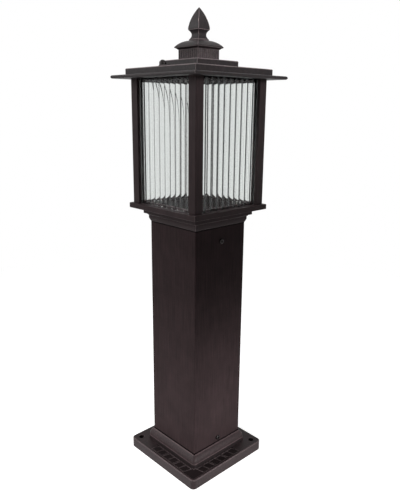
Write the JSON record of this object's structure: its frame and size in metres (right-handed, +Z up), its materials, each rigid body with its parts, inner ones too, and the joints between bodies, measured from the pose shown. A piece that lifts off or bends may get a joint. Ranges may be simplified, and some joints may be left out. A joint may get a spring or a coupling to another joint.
{
  "type": "bollard lantern",
  "caption": "Square bollard lantern for a garden path: flanged cast base, square post, fluted glass lantern and a stepped roof with a pointed finial.",
  "frame": {"origin": "middle of the base's underside", "axes": "+Z up; -Y is the left front side in the picture and +X the right front side"},
  "size_m": [0.206, 0.206, 0.8],
  "materials": {
    "bronze_powder_coat": "dark bronze powder coat, satin, with a fine brushed streak",
    "fluted_glass": "clear, pressed with upright flutes",
    "stainless_steel": "stainless, plain",
    "zinc_plated_steel": "zinc plated",
    "black_rubber": "moulded, matt",
    "white_resin": "moulded heat-proof resin",
    "brass": "plain",
    "black_sleeve": "woven glass-fibre sleeve, dark",
    "terminal_plastic": "moulded, matt"
  },
  "bodies": {
    "root": {"base_casting": "bronze_powder_coat", "post_tube": "bronze_powder_coat", "post_foot_screws": "stainless_steel", "post_head_screws": "stainless_steel", "neck_collar": "bronze_powder_coat", "lantern_tray": "bronze_powder_coat", "tray_screws": "stainless_steel", "tray_grommet": "black_rubber", "corner_post_right": "bronze_powder_coat", "corner_post_rear": "bronze_powder_coat", "corner_post_left": "bronze_powder_coat", "corner_post_front": "bronze_powder_coat", "corner_post_screws_lower": "stainless_steel", "corner_post_screws_upper": "stainless_steel", "pane_left_front": "fluted_glass", "pane_right_front": "fluted_glass", "pane_right_rear": "fluted_glass", "pane_left_rear": "fluted_glass", "glazing_strips": "black_rubber", "top_frame": "bronze_powder_coat", "lampholder_bar": "zinc_plated_steel", "lampholder_bar_screws": "zinc_plated_steel", "lampholder_body": "white_resin", "lampholder_clamp_ring": "white_resin", "lampholder_screw_shell": "brass", "lampholder_contact": "brass", "terminal_block": "terminal_plastic", "terminal_block_screws": "brass", "earth_terminal": "brass", "lamp_lead": "black_sleeve"},
    "roof": {"roof_shell": "bronze_powder_coat", "ribbed_neck": "bronze_powder_coat", "neck_screws": "stainless_steel", "domed_cap": "bronze_powder_coat", "finial_stud": "stainless_steel", "finial_nut": "stainless_steel", "roof_screw_seals": "black_rubber"},
    "roof_screw_front": {"roof_screw_front": "bronze_powder_coat"},
    "roof_screw_rear": {"roof_screw_rear": "bronze_powder_coat"},
    "finial": {"finial": "bronze_powder_coat"}
  },
  "joints": [
    {"name": "roof_lift", "type": "slide", "parent": "root", "child": "roof", "axis": [0, 0, 1], "range_m": [0, 0.1]},
    {"name": "roof_screw_front_turn", "type": "hinge", "parent": "roof", "child": "roof_screw_front", "pos_m": [0, -0.0755, 0.7099], "axis": [0, 0, 1], "continuous": true},
    {"name": "roof_screw_rear_turn", "type": "hinge", "parent": "roof", "child": "roof_screw_rear", "pos_m": [0, 0.0755, 0.7099], "axis": [0, 0, 1], "continuous": true},
    {"name": "finial_turn", "type": "hinge", "parent": "roof", "child": "finial", "pos_m": [0, 0, 0.7505], "axis": [0, 0, 1], "continuous": true}
  ]
}
